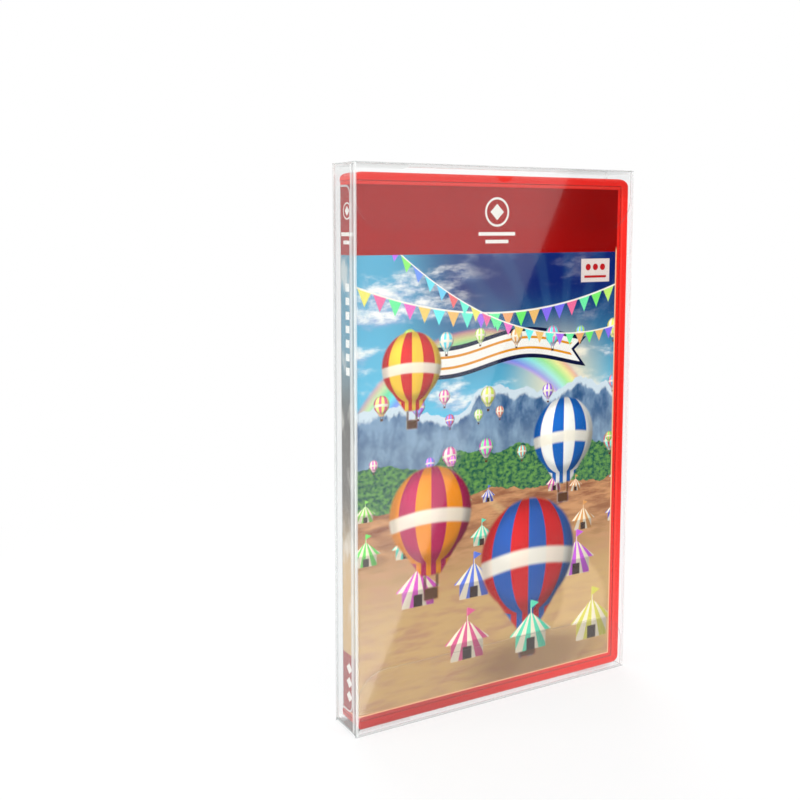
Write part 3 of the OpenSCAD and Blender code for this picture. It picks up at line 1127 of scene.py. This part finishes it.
def set_camera(scene, settings):
    """Aims the camera from its yaw and pitch."""
    camera = bpy.data.cameras.new("camera")
    camera.sensor_width = 36
    camera.lens = settings.lens
    camera.shift_y = settings.rise
    camera.clip_start = 0.01
    eye = bpy.data.objects.new("camera", camera)
    yaw, pitch = settings.yaw, settings.pitch
    level = math.cos(pitch)
    ahead = Vector((math.sin(yaw) * level, math.cos(yaw) * level, -math.sin(pitch)))
    eye.location = settings.eye
    eye.rotation_euler = ahead.to_track_quat("-Z", "Y").to_euler()
    scene.collection.objects.link(eye)
    scene.camera = eye


def stage_piece(name, corners, material):
    """A flat panel of the stage, from its corners in order."""
    form = bmesh.new()
    form.faces.new([form.verts.new(corner) for corner in corners])
    made = made_object(name, form, material)
    return made


def floor_paint():
    """Pale floor that stays white to the camera and keeps the shadow."""
    floor = Finish("floor_paint")
    seen = floor.node("ShaderNodeLightPath", {}, {}, out="Is Camera Ray")
    far = ((floor.x ** 2 + floor.y ** 2) ** 0.5).rises(60, 300)
    mottle = floor.noise(floor.at, 0.004, 2.0)
    matt = floor.surface(
        Base_Color=floor.mix(mottle, ink(238, 238, 238), ink(242, 242, 242)),
        Roughness=0.9,
        Specular_IOR_Level=0.0,
    )
    white = floor.node("ShaderNodeEmission", {}, {"Color": (1, 1, 1, 1), "Strength": 1.0})
    return floor.done(floor.blend(seen * (0.68 + 0.32 * far), matt, white))


def board_paint(name, low, high, upper, strength):
    """Glow of a board that the sheet mirrors, in full below the low height, and only the
    share upper of it above the high one."""
    board = Finish(name)
    level = board.z.falls(low / MM, high / MM)
    colour = board.mix(level, (upper, upper, upper, 1), (1, 1, 1, 1))
    return board.done(board.node("ShaderNodeEmission", {}, {"Color": colour, "Strength": strength}))


def front_boards(settings):
    """Hangs a dark and a pale board in front, whose shared edge the front panel mirrors."""
    face = SLEEVE_LOW.y
    eye = Vector(settings.eye)
    mirrored = Vector((eye.x, 2 * face - eye.y, eye.z))
    board_y = -1.2
    reach = (board_y - mirrored.y) / (face - mirrored.y)

    def thrown(x, z):
        """Where the board shows at a place on the front panel, in millimetres."""
        seen = Vector((x * MM, face, z * MM))
        return mirrored + (seen - mirrored) * reach

    edge_low, edge_high = thrown(-53.5, 1.5), thrown(25.0, 170.7)
    along = edge_high - edge_low
    edge_low, edge_high = edge_low - 0.05 * along, edge_high + along
    low, high = thrown(0, -5).z, thrown(0, 95).z
    for name, width, upper, strength in (
        ("dark_board", 4.0, 0.003, 1.2),
        ("pale_board", -4.0, 0.3, 3.4),
    ):
        away = Vector((width, 0, 0))
        corners = (edge_low, edge_low + away, edge_high + away, edge_high)
        paint = board_paint(f"{name}_paint", low, high, upper, strength)
        for_gloss_only(stage_piece(name, corners, paint))


def side_board():
    """Hangs a dark board behind on the left, which the narrow side wall mirrors."""
    left, right, behind, low, high = -2.0, -0.12, 0.9, -1.0, 1.4
    corners = [(x, behind, z) for x, z in ((left, low), (right, low), (right, high), (left, high))]
    paint = board_paint("side_board_paint", -0.3, 0.25, 0.005, 0.6)
    for_gloss_only(stage_piece("side_board", corners, paint))


def for_gloss_only(board):
    """Leaves a board out of all but what the glossy faces mirror."""
    for ray in ("camera", "diffuse", "shadow", "transmission"):
        setattr(board, f"visible_{ray}", False)


def room_light(scene, strength):
    """White to the eye, softer as light."""
    world = bpy.data.worlds.new("studio")
    world.use_nodes = True
    scene.world = world
    bench = Bench(world.node_tree)
    bench.tree.nodes.clear()
    path = bench.node("ShaderNodeLightPath", {}, {}, out="Is Camera Ray")
    seen = bench.greater(path, path.other("Is Transmission Ray"))
    level = strength + (1 - strength) * seen + 0.24 * path.other("Is Glossy Ray")
    sky = bench.node("ShaderNodeBackground", {}, {"Color": (1, 1, 1, 1), "Strength": level})
    bench.node("ShaderNodeOutputWorld", {}, {"Surface": sky})


class CARDCASE_OT_stage(bpy.types.Operator):
    """Lay the floor, hang the lamps and set up the camera"""

    bl_idname = "cardcase.stage"
    bl_label = "Stage"

    def execute(self, context):
        scene = context.scene
        settings = scene.cardcase_stage
        half = 6.0
        corners = [(-half, -half, 0), (half, -half, 0), (half, half, 0), (-half, half, 0)]
        floor = stage_piece("floor", corners, floor_paint())
        floor.visible_glossy = False
        front_boards(settings)
        side_board()
        hang_lamps(scene, settings)
        room_light(scene, settings.room)
        set_camera(scene, settings)
        scene.view_settings.view_transform = "Standard"
        scene.cycles.transparent_max_bounces = 48
        return {"FINISHED"}


class CARDCASE_PT_panel(bpy.types.Panel):
    """Sidebar panel that lists the steps and their settings"""

    bl_idname = "CARDCASE_PT_panel"
    bl_label = "Card Case"
    bl_space_type = "VIEW_3D"
    bl_region_type = "UI"
    bl_category = "Card Case"

    def draw(self, context):
        layout = self.layout
        for step in STEPS:
            layout.operator(step.bl_idname)
        for owner in SETTINGS:
            settings = getattr(context.scene, owner)
            box = layout.box()
            for name in settings.__annotations__:
                box.prop(settings, name)


SETTINGS = {
    "cardcase_sleeve": SleeveSettings,
    "cardcase_case": CaseSettings,
    "cardcase_cover": CoverSettings,
    "cardcase_stage": StageSettings,
}
STEPS = (
    CARDCASE_OT_sleeve,
    CARDCASE_OT_case,
    CARDCASE_OT_cover,
    CARDCASE_OT_card,
    CARDCASE_OT_stage,
)


def register():
    for group in SETTINGS.values():
        bpy.utils.register_class(group)
    for step in (*STEPS, CARDCASE_PT_panel):
        bpy.utils.register_class(step)
    for name, group in SETTINGS.items():
        setattr(bpy.types.Scene, name, PointerProperty(type=group))


def unregister():
    for name in SETTINGS:
        delattr(bpy.types.Scene, name)
    for step in (CARDCASE_PT_panel, *reversed(STEPS)):
        bpy.utils.unregister_class(step)
    for group in SETTINGS.values():
        bpy.utils.unregister_class(group)


def main():
    register()
    bpy.ops.cardcase.sleeve()
    bpy.ops.cardcase.case()
    bpy.ops.cardcase.cover()
    bpy.ops.cardcase.card()
    bpy.ops.cardcase.stage()


if __name__ == "__main__":
    main()
